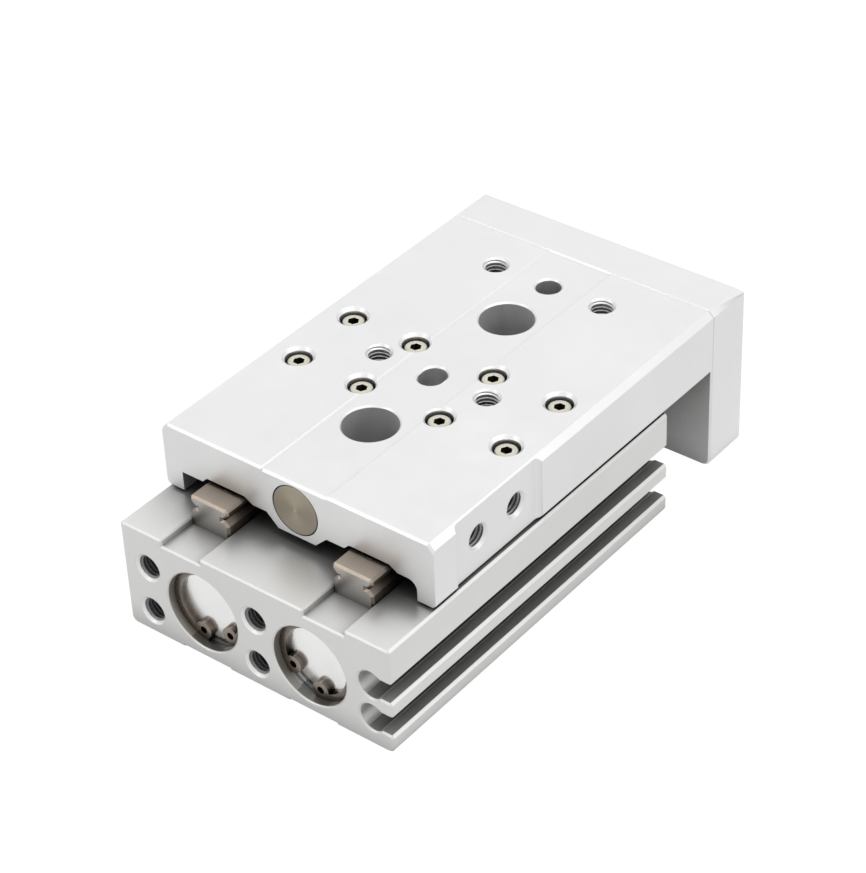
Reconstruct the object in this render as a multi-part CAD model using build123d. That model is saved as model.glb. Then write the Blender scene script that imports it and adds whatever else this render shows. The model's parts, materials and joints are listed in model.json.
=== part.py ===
from build123d import *
import math
import os

os.makedirs("parts", exist_ok=True)

# Sizes are in millimetres. X runs across the slide, Y is the way the table extends and Z is up.
# The origin is the middle of the flat face under the cylinder body, and the slide is part way out.

# Travel
stroke = 20.0
rest_extension = 13.1
stop_gap = 0.1

# Guide rails and blocks, of the 9 mm miniature kind
rail_width = 9.0
rail_height = 6.5
rail_length = 75.0
rail_spacing = 33.0
rail_seat_depth = 1.3
rail_seat_clearance = 0.05
rail_seat_lead = 0.3
rail_front_inset = 0.5
rail_edge_chamfer = 0.45
rail_end_chamfer = 0.45
rail_groove_height = 4.1
rail_groove_depth = 1.2
rail_relief_depth = 0.35
rail_relief_height = 0.3
rail_hole_pitch = 20.0
rail_hole_margin = 5.0
rail_counterbore_depth = 2.3
block_width = 20.0
block_stack_height = 10.0
block_length = 40.0
block_foot_gap = 2.2
block_edge_chamfer = 0.5
block_flank_clearance = 0.35
block_crown_clearance = 0.5
block_pattern_x = 15.0
block_pattern_y = 16.0
block_thread_depth = 3.4
end_cap_length = 4.2
end_cap_inset = 0.25
end_seal_thickness = 0.8
end_seal_clearance = 0.15
ball_radius = 1.0
ball_groove_clearance = 0.05
balls_per_row = 8
return_hole_offset = 3.35

# Cylinder body
bore_radius = 8.0
bore_spacing = 25.0
bore_floor = 2.7
bore_roof = 4.6
body_length = 83.8
skirt_thickness = 4.0
skirt_clearance = 0.5
body_edge_chamfer = 0.45
body_end_chamfer = 0.35
body_foot_radius = 1.5
foot_recess_width = 11.0
foot_recess_depth = 0.3
sensor_channel_radius = 2.9
sensor_neck_height = 4.3
sensor_channel_inset = 4.5
sensor_heights = (6.1, 13.6)
sensor_lip_chamfer = 0.3
sensor_sill_chamfer = 0.5

# Bore mouths, covers and retaining rings
mouth_step = 0.25
mouth_depth = 5.0
mouth_chamfer = 0.3
static_clearance = 0.05
ring_inset = 1.8
ring_thickness = 1.0
ring_groove_slack = 0.1
ring_bite = 0.4
ring_rim = 1.3
lug_radius = 1.8
lug_hole_radius = 0.75
lug_root_width = 2.9
lug_half_angle = 32.0
left_ring_turn = -75.0
right_ring_turn = -116.0
head_cover_length = 7.1
cover_groove_depth = 0.9
cover_groove_width = 1.4
cover_groove_margin = 1.6
seal_clearance = 0.1
bumper_thickness = 1.5
bumper_radius = 6.0
bumper_post_radius = 2.0
bumper_post_height = 0.8
rod_seal_width = 1.9
rod_seal_length = 3.4
rod_seal_lip = 0.85
rod_seal_relief = 0.3
rod_bearing_wall = 1.1
rod_bearing_length = 12.0

# Pistons and rods
rod_radius = 3.0
rod_clearance = 0.05
rod_passage_clearance = 0.4
spigot_radius = 2.0
piston_length = 24.0
piston_clearance = 0.15
piston_edge_chamfer = 0.5
wear_groove_depth = 0.9
wear_groove_width = 5.0
seal_groove_depth = 1.6
seal_groove_width = 2.4
magnet_depth = 2.0
magnet_width = 3.0
piston_nut_flats = 5.5
piston_nut_height = 2.0
ring_side_clearance = 0.05

# Screws, drawn at their core size where they are in a thread
socket_depth_share = 0.6
head_round_share = 0.16
m25_core = 1.0
m25_shank = 1.25
m25_head = 2.25
m25_head_height = 2.5
m25_socket = 2.0
m3_core = 1.25
m3_shank = 1.5
m3_head = 2.75
m3_head_height = 2.0
m3_socket = 2.5
m4_core = 1.65
m4_shank = 2.0
m4_head = 3.5
m4_head_height = 4.0
m4_socket = 3.0
m5_core = 2.1
m5_shank = 2.5
m5_nut_flats = 8.0
m5_nut_height = 4.0
m5_socket = 2.5
m5_socket_depth = 2.0
m6_core = 2.55
thread_clearance = 0.05
screw_clearance = 0.2
head_clearance = 0.15
block_head_clearance = 0.4
screw_tip_gap = 0.5
thread_mouth_chamfer = 0.62
wide_mouth_chamfer = 0.95
counterbore_mouth_chamfer = 0.3
rail_screw_length = 6.0
block_screw_length = 5.0
plate_screw_length = 16.0

# Body holes
mount_spacing = 40.8
mount_counterbore_radius = 4.75
mount_counterbore_depth = 5.5
port_inset = 5.8
port_heights = (5.0, 15.0)
port_thread_depth = 8.0
side_port_depth = 5.5
air_passage_radius = 1.2
port_plug_length = 4.0

# Slide table
table_gap = 0.6
table_web = 5.6
table_length = 85.6
table_edge_chamfer = 1.2
table_end_chamfer = 0.45
table_foot_chamfer = 0.6
skirt_corner_radius = 2.0
relief_gap = 0.6
relief_depth = 1.1
relief_crown_width = 8.9
relief_slope_width = 1.9
boss_drop = 2.5
boss_foot_width = 8.6
boss_root_width = 13.8
centre_strip_width = 14.6
centre_strip_depth = 0.28
block_pocket_clearance = 0.2
block_centre_from_rear = 38.0
access_hole_radius = 5.35
access_mouth_chamfer = 0.3
table_thread_spacing_x = 25.0
table_thread_spacing_y = 36.0
table_thread_from_front = 10.0
pin_hole_radius = 2.5
pin_hole_depth = 6.0
pin_slot_stretch = 1.0
pin_mouth_chamfer = 0.35
stop_pin_radius = 5.0
stop_pin_length = 12.0
stop_pin_clearance = 0.1
stop_pin_wall = 0.8
block_counterbore_depth = 3.55
side_pocket_from_rear = 6.3
side_pocket_length = 24.8
side_pocket_depth = 0.9
side_pocket_cutter = 1.35
side_thread_from_rear = 13.5
side_thread_spacing = 10.9
side_thread_above_ceiling = 2.6
side_thread_depth = 3.4

# End plate
plate_thickness = 10.7
plate_foot_gap = 1.2
plate_corner_radius = 2.0
plate_edge_chamfer = 0.4
plate_front_chamfer = 0.2
plate_screw_spacings = (12.6, 40.0)
plate_screw_drop = 5.6
plate_counterbore_depth = 4.4
rod_washer_radius = 6.5
rod_washer_thickness = 1.0
bush_radius = 4.6
bush_clearance = 0.15
bush_flange_radius = 5.3
bush_flange_thickness = 1.0
nut_pocket_radius = 5.6
nut_pocket_depth = 5.5
stud_clearance = 0.15
stud_beyond_nut = 0.3
plate_thread_spacing_x = 45.0
plate_thread_spacing_z = 12.0
plate_thread_depth = 8.0

# Places that follow from the sizes
rear_y = -body_length / 2
front_y = body_length / 2
bore_z = bore_floor + bore_radius
body_height = bore_z + bore_radius + bore_roof
body_width = rail_spacing + block_width + 2 * (skirt_clearance + skirt_thickness)
half_width = body_width / 2
mouth_radius = bore_radius + mouth_step
seat_z = body_height - rail_seat_depth
rail_top_z = seat_z + rail_height
rail_rear_y = front_y - rail_front_inset - rail_length
ball_z = seat_z + rail_groove_height
groove_reach = math.sqrt(2) * (ball_radius + ball_groove_clearance)
ball_x = rail_width / 2 - rail_groove_depth + groove_reach
table_rear_y = rear_y + rest_extension
table_front_y = table_rear_y + table_length
table_foot_z = body_height + table_gap
block_top_z = seat_z + block_stack_height
table_top_z = block_top_z + table_web
relief_z = rail_top_z + relief_gap
ceiling_z = relief_z - relief_depth
boss_z = ceiling_z - boss_drop
block_centre_y = table_rear_y + block_centre_from_rear
plate_front_y = table_front_y + plate_thickness
cover_face = ring_inset + ring_thickness
head_cover_end = cover_face + head_cover_length
rod_cover_end = (body_length - head_cover_end - 2 * bumper_thickness - piston_length
                 - stroke - 2 * stop_gap)
piston_rear_y = rear_y + head_cover_end + bumper_thickness + stop_gap + rest_extension
piston_front_y = piston_rear_y + piston_length
nut_y = plate_front_y - nut_pocket_depth + bush_flange_thickness
sides = {"left": -1, "right": 1}


def save(node, *solids):
    """Write one node, which holds one solid or a group of like solids."""
    export_step(Compound(children=list(solids), label=node), f"parts/{node}.step")


def block(x_range, y_range, z_range):
    """A rectangular block between the given limits."""
    size = [high - low for low, high in (x_range, y_range, z_range)]
    middle = [(high + low) / 2 for low, high in (x_range, y_range, z_range)]
    return Pos(*middle) * Box(*size)


def along_y(sketch, start, end):
    """Extrude a sketch drawn in X and Z from one Y to another."""
    return extrude(Plane.XZ.offset(-start) * sketch, amount=start - end)


def turned(*outline):
    """Turn an outline of (radius, Y) points about the Y axis."""
    return revolve(make_face(Polyline(*outline, close=True)), axis=Axis.Y)


def ring(inner, outer, start, end):
    """A plain turned ring about the Y axis."""
    return turned((inner, start), (outer, start), (outer, end), (inner, end))


def drill(mouth, inward, radius, depth, chamfer=0.0):
    """A drill that enters at a mouth and cuts inward, with a chamfer at the mouth."""
    frame = Plane(origin=mouth, z_dir=inward)
    start = Align.CENTER, Align.CENTER, Align.MIN
    tool = Cylinder(radius, depth, align=start)
    if chamfer:
        tool += Cone(radius + chamfer, radius, chamfer, align=start)
    return frame * tool


def socket_screw(core, length, head, head_height, socket):
    """A cap screw about the Z axis, with its head's seat at Z = 0 and its shank below."""
    below = Align.CENTER, Align.CENTER, Align.MAX
    above = Align.CENTER, Align.CENTER, Align.MIN
    cap = Cylinder(head, head_height, align=above)
    cap = fillet(cap.edges().sort_by(Axis.Z)[-1], head * head_round_share)
    screw = Cylinder(core, length, align=below) + cap
    key = RegularPolygon(socket / 2, 6, major_radius=False)
    return screw - extrude(Pos(0, 0, head_height) * key, amount=-socket_depth_share * head_height)


def in_rear_mouth(side, piece):
    """Place a piece whose Y is its depth below the rear face on a bore's axis."""
    return Pos(side * bore_spacing / 2, rear_y, bore_z) * piece


def in_front_mouth(side, piece):
    """Place a piece whose Y is its depth below the front face on a bore's axis."""
    return Pos(side * bore_spacing / 2, front_y, bore_z) * Rot(0, 0, 180) * piece


def on_rod_axis(side, y, piece):
    """Place a piece on a rod's axis at a given Y."""
    return Pos(side * bore_spacing / 2, y, bore_z) * piece


def rear_bevel(half_span, level):
    """The wedge that the bevel takes off an edge at the table's rear end."""
    y = table_rear_y
    size = table_end_chamfer
    edge = make_face(Polyline((y, level - size), (y, level), (y + size, level), close=True))
    return extrude(Plane.YZ.offset(-half_span) * edge, amount=2 * half_span)


def sensor_groove(z):
    """A keyhole groove for a sensor, drawn in X and Z, open at the right-hand side."""
    channel_x = half_width - sensor_channel_inset
    half_neck = sensor_neck_height / 2
    neck = make_face(Polyline(
        (channel_x, z - half_neck),
        (half_width - sensor_sill_chamfer, z - half_neck),
        (half_width, z - half_neck - sensor_sill_chamfer),
        (half_width, z + half_neck + sensor_lip_chamfer),
        (half_width - sensor_lip_chamfer, z + half_neck),
        (channel_x, z + half_neck),
        close=True))
    return Pos(channel_x, z) * Circle(sensor_channel_radius) + neck


def body_section():
    """The body's extruded outline, with its grooves, rail seats and foot recesses."""
    outline = Pos(0, body_height / 2) * Rectangle(body_width, body_height)
    feet = outline.vertices().sort_by(Axis.Y)[:2]
    outline = fillet(feet, body_foot_radius)
    crowns = outline.vertices().sort_by(Axis.Y)[-2:]
    outline = chamfer(crowns, body_edge_chamfer)
    for z in sensor_heights:
        outline -= sensor_groove(z)
    seat_edge = rail_width / 2 + rail_seat_clearance
    seat_mouth = seat_edge + rail_seat_lead
    seat = make_face(Polyline(
        (-seat_mouth, body_height), (-seat_edge, body_height - rail_seat_lead),
        (-seat_edge, seat_z), (seat_edge, seat_z), (seat_edge, body_height - rail_seat_lead),
        (seat_mouth, body_height), close=True))
    for side in sides.values():
        outline -= Pos(side * rail_spacing / 2, 0) * seat
        recess = Rectangle(foot_recess_width, 2 * foot_recess_depth)
        outline -= Pos(side * bore_spacing / 2, 0) * recess
    return outline


def bore_cut():
    """What is bored out round one bore's axis, from the rear face to the front face."""
    rings = []
    for face, inward in ((0, 1), (body_length, -1)):
        groove_start = face + inward * ring_inset
        groove_end = groove_start + inward * (ring_thickness + ring_groove_slack)
        rings.append(ring(bore_radius, mouth_radius, face, face + inward * mouth_depth))
        rings.append(ring(bore_radius, mouth_radius + ring_bite, groove_start, groove_end))
        rings.append(turned((bore_radius, face), (mouth_radius + mouth_chamfer, face),
                            (mouth_radius, face + inward * mouth_chamfer),
                            (bore_radius, face + inward * mouth_chamfer)))
    cut = turned((0, 0), (bore_radius, 0), (bore_radius, body_length), (0, body_length))
    for extra in rings:
        cut += extra
    return cut


def air_cuts():
    """Rear ports, side ports and the passages that lead from them into both bores."""
    port_x = port_inset - half_width
    rear_chamber_y = rear_y + head_cover_end + air_passage_radius
    front_chamber_y = front_y - rod_cover_end - air_passage_radius
    cuts = []
    for z, chamber_y in zip(port_heights, (front_chamber_y, rear_chamber_y)):
        cuts.append(drill((port_x, rear_y, z), (0, 1, 0), m5_core, port_thread_depth,
                          wide_mouth_chamfer))
        cuts.append(drill((port_x, rear_y, z), (0, 1, 0), air_passage_radius,
                          chamber_y - rear_y))
        cuts.append(drill((-half_width, chamber_y, z), (1, 0, 0), m5_core, side_port_depth,
                          thread_mouth_chamfer))
        reach = half_width + bore_spacing / 2 - math.sqrt(bore_radius**2 - (z - bore_z)**2)
        cuts.append(drill((-half_width, chamber_y, z), (1, 0, 0), air_passage_radius,
                          reach + air_passage_radius))
    return cuts, port_x, (front_chamber_y, rear_chamber_y)


def rail_hole_places():
    """The Y of each rail screw, spread evenly about the rail's middle."""
    gaps = int((rail_length - 2 * rail_hole_margin) // rail_hole_pitch)
    middle = rail_rear_y + rail_length / 2
    return [middle + (i - gaps / 2) * rail_hole_pitch for i in range(gaps + 1)]


def make_body():
    body = along_y(body_section(), rear_y, front_y)
    for end in (0, -1):
        outline = body.faces().sort_by(Axis.Y)[end].outer_wire()
        body = chamfer(outline.edges(), body_end_chamfer)
    for side in sides.values():
        body -= in_rear_mouth(side, bore_cut())
        for y in rail_hole_places():
            tip = rail_screw_length - (rail_height - rail_counterbore_depth) + screw_tip_gap
            body -= drill((side * rail_spacing / 2, y, seat_z), (0, 0, -1), m3_core, tip)
        mount_y = side * mount_spacing / 2
        body -= drill((0, mount_y, 0), (0, 0, 1), m6_core, body_height, thread_mouth_chamfer)
        body -= drill((0, mount_y, body_height), (0, 0, -1), mount_counterbore_radius,
                      mount_counterbore_depth, body_edge_chamfer)
    for z in port_heights:
        body -= drill((0, rear_y, z), (0, 1, 0), m5_core, port_thread_depth,
                      wide_mouth_chamfer)
    for cut in air_cuts()[0]:
        body -= cut
    return body


def vee(way, root, mouth):
    """A right-angled groove at the balls' height, from its root to its mouth on one flank."""
    half = abs(mouth - root)
    return make_face(Polyline(
        (way * root, rail_groove_height), (way * mouth, rail_groove_height + half),
        (way * mouth, rail_groove_height - half), close=True))


def rail_section():
    """A rail's cross-section about its own centre line, with its foot at zero height."""
    section = Pos(0, rail_height / 2) * Rectangle(rail_width, rail_height)
    section = chamfer(section.vertices().sort_by(Axis.Y)[-2:], rail_edge_chamfer)
    root = rail_width / 2 - rail_groove_depth
    for side in sides.values():
        section -= vee(side, root, rail_width / 2)
        relief = Rectangle(2 * rail_relief_depth, rail_relief_height)
        section -= Pos(side * root, rail_groove_height) * relief
    return section


def make_rail(side):
    rail = along_y(Pos(side * rail_spacing / 2, seat_z) * rail_section(),
                   rail_rear_y, rail_rear_y + rail_length)
    for end in (0, -1):
        all_but_foot = rail.faces().sort_by(Axis.Y)[end].edges().sort_by(Axis.Z)[1:]
        rail = chamfer(all_but_foot, rail_end_chamfer)
    for y in rail_hole_places():
        mouth = side * rail_spacing / 2, y, rail_top_z
        rail -= drill(mouth, (0, 0, -1), m3_shank + screw_clearance, rail_height)
        rail -= drill(mouth, (0, 0, -1), m3_head + head_clearance, rail_counterbore_depth)
    return rail


def make_rail_screws(side):
    screw = socket_screw(m3_core - thread_clearance, rail_screw_length, m3_head,
                         m3_head_height, m3_socket)
    seat = rail_top_z - rail_counterbore_depth
    return [Pos(side * rail_spacing / 2, y, seat) * screw for y in rail_hole_places()]


def make_retaining_ring(turn):
    """A sprung ring with two eyed lugs, its gap turned to an angle above the X axis."""
    outer = mouth_radius + ring_bite - static_clearance
    inner = outer - ring_bite - ring_rim
    lug_reach = outer - ring_bite - lug_radius
    sector = 2 * outer
    gap_angle = math.radians(lug_half_angle)
    gap = make_face(Polyline(
        (0, 0),
        (sector * math.cos(gap_angle), -sector * math.sin(gap_angle)),
        (sector * math.cos(gap_angle), sector * math.sin(gap_angle)),
        close=True))
    flat = Circle(outer) - Circle(inner) - gap
    eyes = []
    for way in (-1, 1):
        place = Rot(0, 0, way * lug_half_angle) * Pos(lug_reach, 0)
        flat += place * Circle(lug_radius)
        flat += place * Pos(lug_radius / 2, 0) * Rectangle(lug_radius, lug_root_width)
        eyes.append(place * Circle(lug_hole_radius))
    flat &= Circle(outer)
    for eye in eyes:
        flat -= eye
    return along_y(Rot(0, 0, turn) * flat, ring_inset, ring_inset + ring_thickness)


def cover_outline(end):
    """Outer points of a cover: flange on the mouth's step, then a plug with a seal groove."""
    flange = mouth_radius - static_clearance
    plug = bore_radius - static_clearance
    groove_start = mouth_depth + cover_groove_margin
    groove_end = groove_start + cover_groove_width
    return [(flange, cover_face), (flange, mouth_depth), (plug, mouth_depth),
            (plug, groove_start), (plug - cover_groove_depth, groove_start),
            (plug - cover_groove_depth, groove_end), (plug, groove_end), (plug, end)]


def make_head_cover():
    post = head_cover_end + bumper_post_height
    return turned((0, cover_face), *cover_outline(head_cover_end),
                  (bumper_post_radius, head_cover_end), (bumper_post_radius, post), (0, post))


def rod_cover_sizes():
    """Radii and depths inside a rod cover that its seal, bearing and bumper share."""
    passage = rod_radius + rod_passage_clearance
    seal_pocket = rod_radius + rod_clearance + rod_seal_width + seal_clearance
    seal_end = cover_face + rod_seal_length
    bearing_pocket = rod_radius + rod_clearance + rod_bearing_wall + static_clearance
    nose = bearing_pocket + bumper_post_height
    nose_end = rod_cover_end + bumper_post_height
    return passage, seal_pocket, seal_end, bearing_pocket, nose, nose_end


def make_rod_cover():
    passage, seal_pocket, seal_end, bearing_pocket, nose, nose_end = rod_cover_sizes()
    bearing_start = nose_end - rod_bearing_length
    return turned((seal_pocket, cover_face), *cover_outline(rod_cover_end),
                  (nose, rod_cover_end), (nose, nose_end), (bearing_pocket, nose_end),
                  (bearing_pocket, bearing_start), (passage, bearing_start),
                  (passage, seal_end), (seal_pocket, seal_end))


def make_cover_seal():
    plug = bore_radius - static_clearance
    start = mouth_depth + cover_groove_margin + ring_side_clearance
    end = start + cover_groove_width - 2 * ring_side_clearance
    return ring(plug - cover_groove_depth + static_clearance, bore_radius - static_clearance,
                start, end)


def make_rod_seal():
    """A lip seal: a ring whose inner edge is relieved behind its lip."""
    seal_pocket, seal_end = rod_cover_sizes()[1:3]
    lip = rod_radius + seal_clearance
    relief = rod_radius + rod_seal_relief
    start = cover_face + seal_clearance
    lip_end = start + rod_seal_lip
    return turned((lip, start), (seal_pocket - seal_clearance, start),
                  (seal_pocket - seal_clearance, seal_end), (relief, seal_end),
                  (relief, lip_end), (lip, lip_end))


def make_rod_bearing():
    nose_end = rod_cover_sizes()[5]
    return ring(rod_radius + rod_clearance, rod_radius + rod_clearance + rod_bearing_wall,
                nose_end - rod_bearing_length, nose_end)


def make_head_bumper():
    return ring(bumper_post_radius + static_clearance, bumper_radius, head_cover_end,
                head_cover_end + bumper_thickness)


def make_rod_bumper():
    nose = rod_cover_sizes()[4]
    return ring(nose + static_clearance, max(bumper_radius, nose + bumper_thickness),
                rod_cover_end, rod_cover_end + bumper_thickness)


def make_port_plugs():
    port_x, chambers = air_cuts()[1:]
    plugs = []
    for z, chamber_y in zip(port_heights, chambers):
        frame = Plane(origin=(-half_width + side_port_depth, chamber_y, z), z_dir=(-1, 0, 0))
        below = Align.CENTER, Align.CENTER, Align.MIN
        plug = Cylinder(m5_core - thread_clearance, port_plug_length, align=below)
        key = RegularPolygon(m5_socket / 2, 6, major_radius=False)
        plug -= extrude(Pos(0, 0, port_plug_length) * key, amount=-m5_socket_depth)
        plugs.append(frame * plug)
    return plugs


def relief_outline(centre):
    """The relief over one rail in X and Z: a steep step on the left, an easy slope on the right."""
    left = centre - relief_crown_width / 2
    right = centre + relief_crown_width / 2
    return make_face(Polyline(
        (left - relief_depth, ceiling_z), (left, relief_z), (right, relief_z),
        (right + relief_slope_width, ceiling_z), (right + relief_slope_width, boss_z),
        (left - relief_depth, boss_z), close=True))


def table_section():
    """The table's outline in X and Z: skirts, ceiling, boss, rail reliefs and sunk strip."""
    height = table_top_z - table_foot_z
    section = Pos(0, (table_top_z + table_foot_z) / 2) * Rectangle(body_width, height)
    corners = section.vertices().sort_by(Axis.Y)
    section = chamfer(corners[-2:], table_edge_chamfer)
    section = chamfer(section.vertices().sort_by(Axis.Y)[:2], table_foot_chamfer)
    inner = half_width - skirt_thickness
    channel = make_face(Polyline(
        (-inner, table_foot_z), (-inner, ceiling_z), (inner, ceiling_z), (inner, table_foot_z),
        close=True))
    right_corner = channel.vertices().sort_by(Axis.Y)[-2:].sort_by(Axis.X)[-1]
    channel = fillet(right_corner, skirt_corner_radius)
    boss = make_face(Polyline(
        (-boss_root_width / 2, ceiling_z), (-boss_foot_width / 2, boss_z),
        (boss_foot_width / 2, boss_z), (boss_root_width / 2, ceiling_z), close=True))
    section -= channel
    section += boss
    for side in sides.values():
        section -= relief_outline(side * rail_spacing / 2)
    strip_edge = centre_strip_width / 2
    strip_z = table_top_z - centre_strip_depth
    strip = make_face(Polyline(
        (-strip_edge - centre_strip_depth, table_top_z), (-strip_edge, strip_z),
        (strip_edge, strip_z), (strip_edge + centre_strip_depth, table_top_z), close=True))
    return section - strip


def side_pocket():
    """A shallow pocket milled in the table's right flank, with a cutter's round at each end."""
    floor_x = half_width - side_pocket_depth
    run = math.sqrt(side_pocket_cutter**2 - (side_pocket_cutter - side_pocket_depth)**2)
    start = table_rear_y + side_pocket_from_rear
    end = start + side_pocket_length
    upright = Align.CENTER, Align.CENTER, Align.MIN
    height = table_top_z - table_foot_z
    cut = block((floor_x, half_width + side_pocket_cutter), (start + run, end - run),
                (table_foot_z, table_top_z))
    for y in (start + run, end - run):
        cutter = Cylinder(side_pocket_cutter, height, align=upright)
        cut += Pos(floor_x + side_pocket_cutter, y, table_foot_z) * cutter
    return cut


def table_thread_places():
    far = table_front_y - table_thread_from_front
    return [(x * table_thread_spacing_x / 2, y) for x in (-1, 1)
            for y in (far - table_thread_spacing_y, far)]


def block_screw_places(side):
    middle = side * rail_spacing / 2
    return [(middle + x * block_pattern_x / 2, block_centre_y + y * block_pattern_y / 2)
            for x in (-1, 1) for y in (-1, 1)]


def plate_screw_places():
    z = table_top_z - plate_screw_drop
    return [(way * spacing / 2, z) for spacing in plate_screw_spacings for way in (-1, 1)]


def make_table():
    table = along_y(table_section(), table_rear_y, table_front_y)
    strip_z = table_top_z - centre_strip_depth
    table -= rear_bevel(half_width, table_top_z)
    table -= rear_bevel(centre_strip_width / 2, strip_z)
    for side in sides.values():
        corner = Pos(side * (half_width - table_edge_chamfer / 2), 0,
                     table_top_z - table_edge_chamfer / 2) * Rot(0, side * 45, 0)
        table -= corner * rear_bevel(table_edge_chamfer, 0)
    down = 0, 0, -1
    pocket_half = block_length / 2 + block_pocket_clearance
    for side in sides.values():
        middle = side * rail_spacing / 2
        half_pocket = block_width / 2 + block_pocket_clearance
        table -= block((middle - half_pocket, middle + half_pocket),
                       (block_centre_y - pocket_half, block_centre_y + pocket_half),
                       (boss_z - boss_drop, block_top_z))
        for x, y in block_screw_places(side):
            table -= drill((x, y, table_top_z), down, m25_shank + screw_clearance, table_web)
            table -= drill((x, y, table_top_z), down, m25_head + block_head_clearance,
                           block_counterbore_depth, counterbore_mouth_chamfer)
        access = 0, side * mount_spacing / 2 + rest_extension, strip_z
        table -= drill(access, down, access_hole_radius, table_top_z - boss_z,
                       access_mouth_chamfer)
    for x, y in table_thread_places():
        table -= drill((x, y, table_top_z), down, m5_core, table_top_z - ceiling_z,
                       thread_mouth_chamfer)
    pin_y = table_front_y - table_thread_from_front
    slot_y = pin_y - table_thread_spacing_y
    table -= drill((0, pin_y, strip_z), down, pin_hole_radius, pin_hole_depth, pin_mouth_chamfer)
    for way in (-1, 1):
        end = 0, slot_y + way * pin_slot_stretch / 2, strip_z
        table -= drill(end, down, pin_hole_radius, pin_hole_depth, pin_mouth_chamfer)
    table -= block((-pin_hole_radius, pin_hole_radius),
                   (slot_y - pin_slot_stretch / 2, slot_y + pin_slot_stretch / 2),
                   (strip_z - pin_hole_depth, table_top_z))
    stop_z = boss_z + stop_pin_wall + stop_pin_radius
    table -= drill((0, table_rear_y, stop_z), (0, 1, 0), stop_pin_radius + stop_pin_clearance,
                   stop_pin_length)
    table -= side_pocket()
    for i in (0, 1):
        y = table_rear_y + side_thread_from_rear + i * side_thread_spacing
        mouth = half_width - side_pocket_depth, y, ceiling_z + side_thread_above_ceiling
        table -= drill(mouth, (-1, 0, 0), m5_core, side_thread_depth, thread_mouth_chamfer)
    for x, z in plate_screw_places():
        depth = plate_screw_length - (plate_thickness - plate_counterbore_depth) + screw_tip_gap
        table -= drill((x, table_front_y, z), (0, -1, 0), m4_core, depth)
    return table


def make_stop_pin():
    stop_z = boss_z + stop_pin_wall + stop_pin_radius
    pin = turned((0, 0), (stop_pin_radius - static_clearance, 0),
                 (stop_pin_radius, static_clearance), (stop_pin_radius, stop_pin_length),
                 (0, stop_pin_length))
    return Pos(0, table_rear_y, stop_z) * pin


def block_outline(inset=0.0):
    """A guide block's cross-section about its rail's centre line, with the rail's foot at zero."""
    half = block_width / 2 - inset
    top = block_stack_height - inset
    outline = make_face(Polyline(
        (-half, block_foot_gap), (-half, top), (half, top), (half, block_foot_gap), close=True))
    return chamfer(outline.vertices(), block_edge_chamfer)


def rail_channel(flank, crown):
    """The slot that a block leaves for its rail."""
    half = rail_width / 2 + flank
    top = rail_height + crown
    return Pos(0, top / 2) * Rectangle(2 * half, top)


def make_guide_block(side):
    """The hardened steel part of a block, with its load grooves and return holes."""
    section = block_outline() - rail_channel(block_flank_clearance, block_crown_clearance)
    for way in sides.values():
        section -= vee(way, ball_x + groove_reach, rail_width / 2)
        passage = Circle(ball_radius + ball_groove_clearance)
        section -= Pos(way * (ball_x + return_hole_offset), rail_groove_height) * passage
    half_steel = block_length / 2 - end_cap_length - end_seal_thickness
    steel = along_y(Pos(side * rail_spacing / 2, seat_z) * section,
                    block_centre_y - half_steel, block_centre_y + half_steel)
    for x, y in block_screw_places(side):
        steel -= drill((x, y, block_top_z), (0, 0, -1), m25_core, block_thread_depth)
    return steel


def block_end_pieces(side, section, start, thickness):
    """The same flat piece at both ends of a block, from a distance off the block's middle."""
    placed = Pos(side * rail_spacing / 2, seat_z) * section
    spans = ((block_centre_y - start - thickness, block_centre_y - start),
             (block_centre_y + start, block_centre_y + start + thickness))
    return [along_y(placed, low, high) for low, high in spans]


def make_end_caps(side):
    section = block_outline(end_cap_inset)
    section -= rail_channel(block_flank_clearance, block_crown_clearance)
    start = block_length / 2 - end_seal_thickness - end_cap_length
    return block_end_pieces(side, section, start, end_cap_length)


def make_end_seals(side):
    """Wipers whose inner edge follows the rail's section, ball grooves included."""
    channel = rail_channel(end_seal_clearance, end_seal_clearance)
    base = rail_width / 2 + end_seal_clearance
    for way in sides.values():
        channel -= vee(way, base - rail_groove_depth + end_seal_clearance, base)
    section = block_outline(2 * end_cap_inset) - channel
    start = block_length / 2 - end_seal_thickness
    return block_end_pieces(side, section, start, end_seal_thickness)


def make_balls(side):
    """The loaded row of balls on each flank of the rail, spread along the steel block."""
    run = block_length - 2 * (end_cap_length + end_seal_thickness)
    pitch = run / balls_per_row
    rear = block_centre_y - run / 2 + pitch / 2
    middle = side * rail_spacing / 2
    return [Pos(middle + way * ball_x, rear + i * pitch, ball_z) * Sphere(ball_radius)
            for way in sides.values() for i in range(balls_per_row)]


def make_block_screws(side):
    screw = socket_screw(m25_core - thread_clearance, block_screw_length, m25_head,
                         m25_head_height, m25_socket)
    seat = table_top_z - block_counterbore_depth
    return [Pos(x, y, seat) * screw for x, y in block_screw_places(side)]


def plate_drill(x, z, radius, depth, chamfer=0.0):
    """A drill that enters the end plate from its front face."""
    return drill((x, plate_front_y, z), (0, -1, 0), radius, depth, chamfer)


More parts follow.
